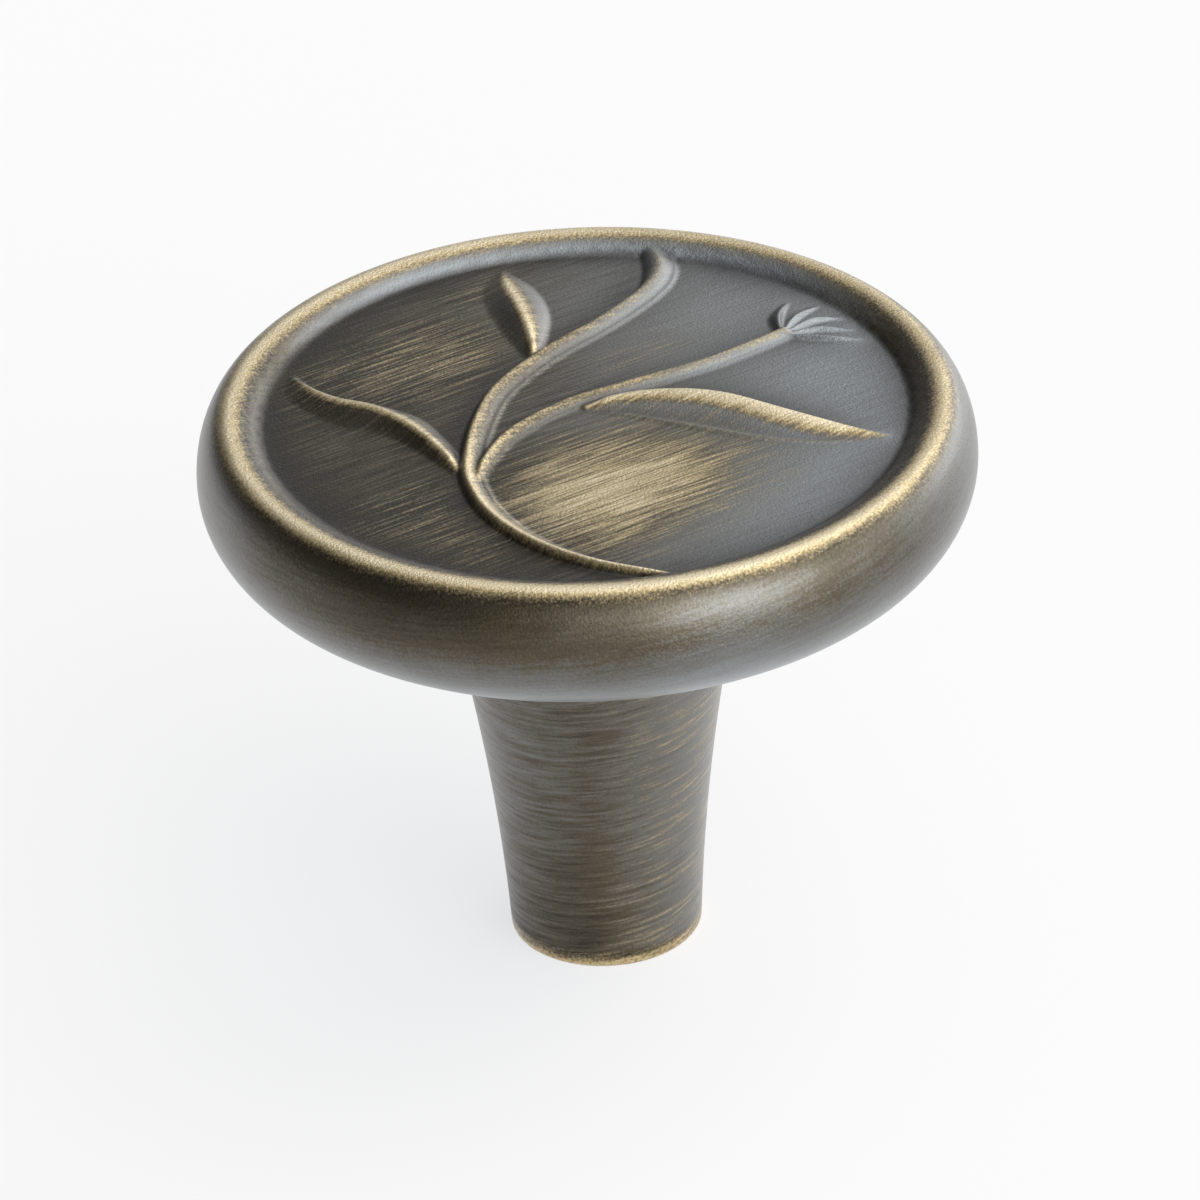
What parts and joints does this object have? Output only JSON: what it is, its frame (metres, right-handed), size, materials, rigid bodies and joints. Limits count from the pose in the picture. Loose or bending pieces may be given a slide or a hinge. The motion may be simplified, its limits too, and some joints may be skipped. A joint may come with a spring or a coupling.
{
  "type": "art nouveau cabinet knob",
  "caption": "Round cast brass cabinet knob with a trumpet stem and a dished head, carrying a whiplash stem, leaves and a flower in low relief.",
  "frame": {"origin": "centre of the foot's flat face, on the stem's axis", "axes": "+Z runs along the stem from the foot to the head; seen from the front, +X is to the right and +Y points away, so the whiplash stem starts at the -Y rim and hooks at the +Y rim"},
  "size_m": [0.04, 0.04, 0.0312],
  "materials": {
    "antique_brass": "cast brass, oxidised to a dark grey brown, satin brushed, rubbed back to pale gold on the rim, ridges and foot edge"
  },
  "bodies": {
    "root": {"knob": "antique_brass"}
  },
  "joints": []
}
